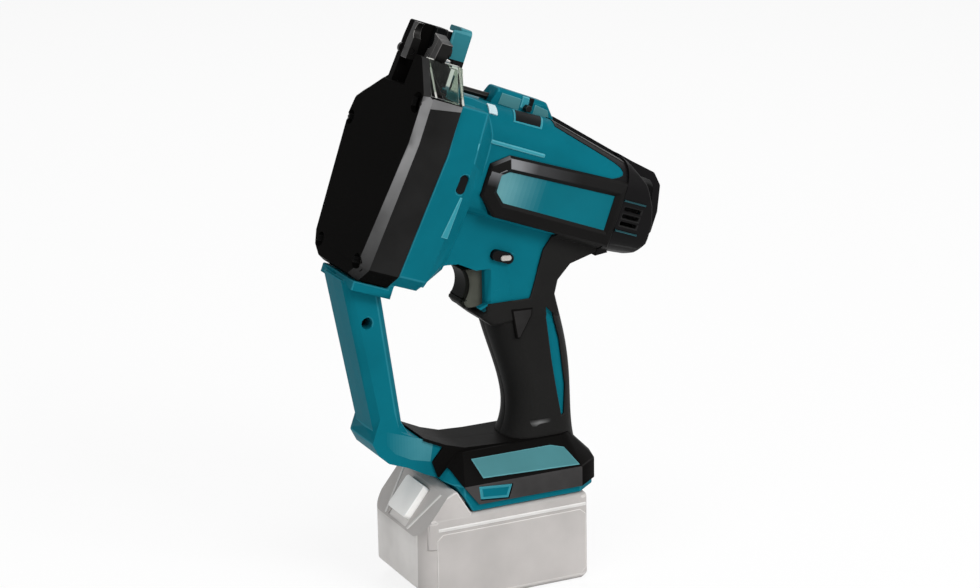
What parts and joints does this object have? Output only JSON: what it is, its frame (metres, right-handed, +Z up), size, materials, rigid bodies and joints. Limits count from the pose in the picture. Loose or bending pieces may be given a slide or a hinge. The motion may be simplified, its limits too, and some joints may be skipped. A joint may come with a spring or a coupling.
{
  "type": "cordless threaded rod cutter",
  "caption": "Pistol-grip cordless cutter for threaded rod: tilted motor barrel, cam-driven shear dies in an open jaw with a rod rest and latch, hand guard and slide-on battery.",
  "frame": {"origin": "middle of the battery's underside, on which the tool stands", "axes": "-X to the front where the rod enters, +Y to the tool's right, +Z up"},
  "size_m": [0.2213, 0.098, 0.3605],
  "materials": {
    "teal_moulding": "moulded glass-filled nylon, fine spark texture",
    "black_elastomer": "overmoulded soft grip, fine stipple",
    "black_moulding": "moulded nylon, fine texture",
    "black_casting": "die cast, satin black coating",
    "bare_casting": "die cast, as cast",
    "tool_steel": "hardened and ground",
    "bright_steel": "turned or cold formed, zinc plated",
    "black_steel": "black oxide",
    "clear_guard": "clear polycarbonate, polished",
    "grey_moulding": "moulded nylon, satin",
    "silver_moulding": "moulded acetal, satin",
    "copper_winding": "enamelled copper wire, packed",
    "magnet": "nickel plated",
    "pack_shell": "moulded, pale warm grey",
    "pack_button": "moulded, white",
    "cell_can": "steel can with a sleeve, weight of a filled cell",
    "board_brass": "stamped spring contacts on a board"
  },
  "bodies": {
    "tool": {"housing_left": "teal_moulding", "housing_right": "teal_moulding", "side_pad_left": "black_elastomer", "side_pad_right": "black_elastomer", "grip_skin_left": "black_elastomer", "grip_skin_right": "black_elastomer", "foot_pad_left": "black_elastomer", "foot_pad_right": "black_elastomer", "rear_cover": "black_moulding", "housing_screws": "black_steel", "front_cover": "black_casting", "cover_bolts": "black_steel", "gear_case": "bare_casting", "fixed_die": "tool_steel", "fixed_die_screw": "black_steel", "arm_pivot_pin": "bright_steel", "rod_rest": "black_casting", "latch_pin": "bright_steel", "chip_guard": "clear_guard", "bearings": "bright_steel", "ring_gear": "tool_steel", "stator": "bright_steel", "stator_coils": "copper_winding", "trigger_spring": "bright_steel", "power_switch": "black_moulding", "arm_spring": "bright_steel", "controller": "black_moulding", "terminal_block": "black_moulding", "hex_key": "black_steel"},
    "cam": {"cam_gear": "tool_steel", "cam": "tool_steel", "cam_shaft": "bright_steel"},
    "arm": {"cutter_arm": "tool_steel", "moving_die": "tool_steel", "moving_die_screw": "black_steel", "roller_pin": "bright_steel"},
    "roller": {"cam_roller": "tool_steel"},
    "output": {"output_carrier": "tool_steel"},
    "first": {"first_carrier": "tool_steel"},
    "rotor": {"rotor_core": "bright_steel", "rotor_magnets": "magnet", "rotor_shaft": "bright_steel", "cooling_fan": "black_moulding"},
    "trigger": {"trigger": "grey_moulding"},
    "lock": {"lock_button": "silver_moulding"},
    "latch": {"rod_latch": "teal_moulding"},
    "battery": {"battery_lower": "pack_shell", "battery_upper": "pack_shell", "battery_cells": "cell_can", "cell_holders": "black_moulding", "battery_contacts": "board_brass", "battery_screws": "black_steel", "button_spring": "bright_steel"},
    "release": {"battery_button": "pack_button"},
    "planet_2_1": {"planet_2_1": "tool_steel"},
    "planet_2_2": {"planet_2_2": "tool_steel"},
    "planet_2_3": {"planet_2_3": "tool_steel"},
    "planet_1_1": {"planet_1_1": "tool_steel"},
    "planet_1_2": {"planet_1_2": "tool_steel"},
    "planet_1_3": {"planet_1_3": "tool_steel"}
  },
  "joints": [
    {"name": "rotor_spin", "type": "hinge", "parent": "tool", "child": "rotor", "pos_m": [0.03725, 0, 0.25318], "axis": [-0.9354, 0, 0.3535], "range_deg": [0, 25650]},
    {"name": "first_carrier_spin", "type": "hinge", "parent": "tool", "child": "first", "pos_m": [-0.00859, 0, 0.2705], "axis": [-0.9354, 0, 0.3535], "range_deg": [0, 5130]},
    {"name": "output_spin", "type": "hinge", "parent": "tool", "child": "output", "pos_m": [-0.02075, 0, 0.27509], "axis": [-0.9354, 0, 0.3535], "range_deg": [0, 1026]},
    {"name": "cam_spin", "type": "hinge", "parent": "tool", "child": "cam", "pos_m": [-0.04938, 0, 0.24743], "axis": [0.9354, 0, -0.3535], "range_deg": [0, 270]},
    {"name": "arm_swing", "type": "hinge", "parent": "tool", "child": "arm", "pos_m": [-0.04665, -0.004, 0.30626], "axis": [0.9354, 0, -0.3535], "range_deg": [-18, 0]},
    {"name": "roller_spin", "type": "hinge", "parent": "arm", "child": "roller", "pos_m": [-0.05248, -0.016, 0.26891], "axis": [0.9354, 0, -0.3535], "continuous": true},
    {"name": "trigger_pull", "type": "slide", "parent": "tool", "child": "trigger", "axis": [1, 0, 0], "range_m": [0, 0.006], "stiffness_N_per_m": 800, "springref_m": -0.004, "deforming": ["trigger_spring"]},
    {"name": "lock_push", "type": "slide", "parent": "tool", "child": "lock", "axis": [0, 1, 0], "range_m": [0, 0.005]},
    {"name": "latch_swing", "type": "hinge", "parent": "tool", "child": "latch", "pos_m": [-0.01568, -0.014, 0.33518], "axis": [0.9354, 0, -0.3535], "range_deg": [0, 75], "stiffness_Nm_per_rad": 0.05, "springref_deg": -17.19},
    {"name": "battery_slide", "type": "slide", "parent": "tool", "child": "battery", "axis": [-1, 0, 0], "range_m": [0, 0.1]},
    {"name": "release_press", "type": "slide", "parent": "battery", "child": "release", "axis": [-0.6247, 0, -0.7809], "range_m": [0, 0.004], "stiffness_N_per_m": 600, "springref_m": -0.003, "deforming": ["button_spring"]},
    {"name": "planet_2_1_spin", "type": "hinge", "parent": "output", "child": "planet_2_1", "pos_m": [-0.01514, 0.0135, 0.27297], "axis": [0.9354, 0, -0.3535], "range_deg": [0, 2736]},
    {"name": "planet_2_2_spin", "type": "hinge", "parent": "output", "child": "planet_2_2", "pos_m": [-0.011, -0.00675, 0.28391], "axis": [0.9354, 0, -0.3535], "range_deg": [0, 2736]},
    {"name": "planet_2_3_spin", "type": "hinge", "parent": "output", "child": "planet_2_3", "pos_m": [-0.01927, -0.00675, 0.26204], "axis": [0.9354, 0, -0.3535], "range_deg": [0, 2736]},
    {"name": "planet_1_1_spin", "type": "hinge", "parent": "first", "child": "planet_1_1", "pos_m": [-0.00298, 0.0135, 0.26838], "axis": [0.9354, 0, -0.3535], "range_deg": [0, 13680]},
    {"name": "planet_1_2_spin", "type": "hinge", "parent": "first", "child": "planet_1_2", "pos_m": [0.00116, -0.00675, 0.27931], "axis": [0.9354, 0, -0.3535], "range_deg": [0, 13680]},
    {"name": "planet_1_3_spin", "type": "hinge", "parent": "first", "child": "planet_1_3", "pos_m": [-0.00711, -0.00675, 0.25744], "axis": [0.9354, 0, -0.3535], "range_deg": [0, 13680]}
  ],
  "couplings": [
    {"joint": "first_carrier_spin", "follows": "rotor_spin", "ratio": 0.2},
    {"joint": "output_spin", "follows": "rotor_spin", "ratio": 0.04},
    {"joint": "cam_spin", "follows": "rotor_spin", "ratio": 0.010526},
    {"joint": "arm_swing", "follows": "rotor_spin", "ratio": -0.00070175},
    {"joint": "planet_2_1_spin", "follows": "rotor_spin", "ratio": 0.10667},
    {"joint": "planet_2_2_spin", "follows": "rotor_spin", "ratio": 0.10667},
    {"joint": "planet_2_3_spin", "follows": "rotor_spin", "ratio": 0.10667},
    {"joint": "planet_1_1_spin", "follows": "rotor_spin", "ratio": 0.53333},
    {"joint": "planet_1_2_spin", "follows": "rotor_spin", "ratio": 0.53333},
    {"joint": "planet_1_3_spin", "follows": "rotor_spin", "ratio": 0.53333}
  ]
}
